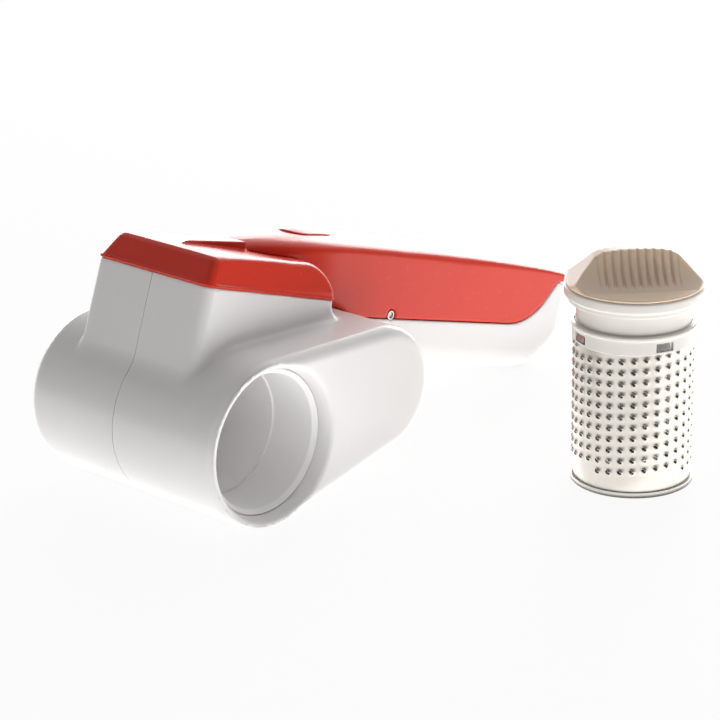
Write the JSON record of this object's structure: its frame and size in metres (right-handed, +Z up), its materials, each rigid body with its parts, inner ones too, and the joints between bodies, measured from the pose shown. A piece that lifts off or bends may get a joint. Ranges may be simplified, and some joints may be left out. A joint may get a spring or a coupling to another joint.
{
  "type": "cordless rotary grater",
  "caption": "Cordless rotary grater with hinged presser arm, geared drive and a removable punched steel drum with grip cap standing beside it.",
  "frame": {"origin": "centre of the drum mouth's edge at the front of the housing", "axes": "+Y into the drum bore, +Z up from the table, +X towards the handle"},
  "size_m": [0.2492, 0.1965, 0.0985],
  "materials": {
    "white_shell": "satin-gloss white moulded plastic",
    "white_inner": "fine matt white plastic",
    "red_gloss": "glossy orange-red moulded plastic",
    "red_button": "satin orange-red plastic",
    "ivory": "satin ivory plastic",
    "taupe": "matt taupe plastic",
    "drum_steel": "bright punched stainless sheet",
    "pin_steel": "turned steel",
    "steel": "plain steel",
    "brass": "machined brass",
    "gear_plastic": "natural gear plastic",
    "battery_wrap": "shrink-wrapped cells",
    "board": "coated circuit board",
    "black_plastic": "black moulded plastic"
  },
  "bodies": {
    "base": {"front_shell": "white_shell", "rear_shell": "white_shell", "handle_front": "white_shell", "handle_rear": "white_shell", "drum_chamber": "white_inner", "food_chute": "white_inner", "gear_plate": "steel", "plate_screws": "steel", "motor": "steel", "drive_axle": "steel", "idler_axle": "steel", "battery_cells": "battery_wrap", "battery_cover": "white_inner", "circuit_board": "board", "micro_switch": "black_plastic", "switch_plate": "white_inner", "charge_contacts": "steel", "housing_screws": "steel", "stop_pin": "pin_steel", "hinge_pin": "steel"},
    "arm": {"arm_shell": "red_gloss", "presser_lid": "red_gloss", "presser": "white_inner", "presser_screws": "steel", "arm_screws": "steel", "button_guide": "red_gloss", "button_spring": "steel"},
    "button": {"thumb_button": "red_button"},
    "pinion": {"motor_pinion": "brass"},
    "idler": {"idler_gear": "gear_plastic"},
    "drive": {"drive_hub": "gear_plastic"},
    "drum": {"drum_base": "ivory", "grating_drum": "drum_steel", "drum_collar": "ivory"},
    "cap": {"cap_plug": "ivory", "cap_grip": "taupe"}
  },
  "joints": [
    {"name": "arm_hinge", "type": "hinge", "parent": "base", "child": "arm", "pos_m": [0.2148, 0.047, 0.00127], "axis": [0, 1, 0], "range_deg": [0, 45]},
    {"name": "button_press", "type": "slide", "parent": "arm", "child": "button", "axis": [-0.2793, 0, -0.9602], "range_m": [0, 0.0025], "stiffness_N_per_m": 400, "deforming": ["button_spring"]},
    {"name": "drive_spin", "type": "hinge", "parent": "base", "child": "drive", "pos_m": [0, 0.08, 0], "axis": [0, 1, 0], "continuous": true},
    {"name": "idler_spin", "type": "hinge", "parent": "base", "child": "idler", "pos_m": [0.03192, 0.08, 0.00224], "axis": [0, 1, 0], "continuous": true},
    {"name": "motor_spin", "type": "hinge", "parent": "base", "child": "pinion", "pos_m": [0.05985, 0.08, 0.00419], "axis": [0, 1, 0], "continuous": true},
    {"name": "drum_lift", "type": "slide", "parent": "base", "child": "drum", "axis": [0, 0, 1], "range_m": [0, 0.06]},
    {"name": "cap_pull", "type": "slide", "parent": "drum", "child": "cap", "axis": [0, 0, 1], "range_m": [0, 0.03]}
  ],
  "couplings": [
    {"joint": "idler_spin", "follows": "drive_spin", "ratio": -4.3333},
    {"joint": "motor_spin", "follows": "drive_spin", "ratio": 15.889}
  ]
}
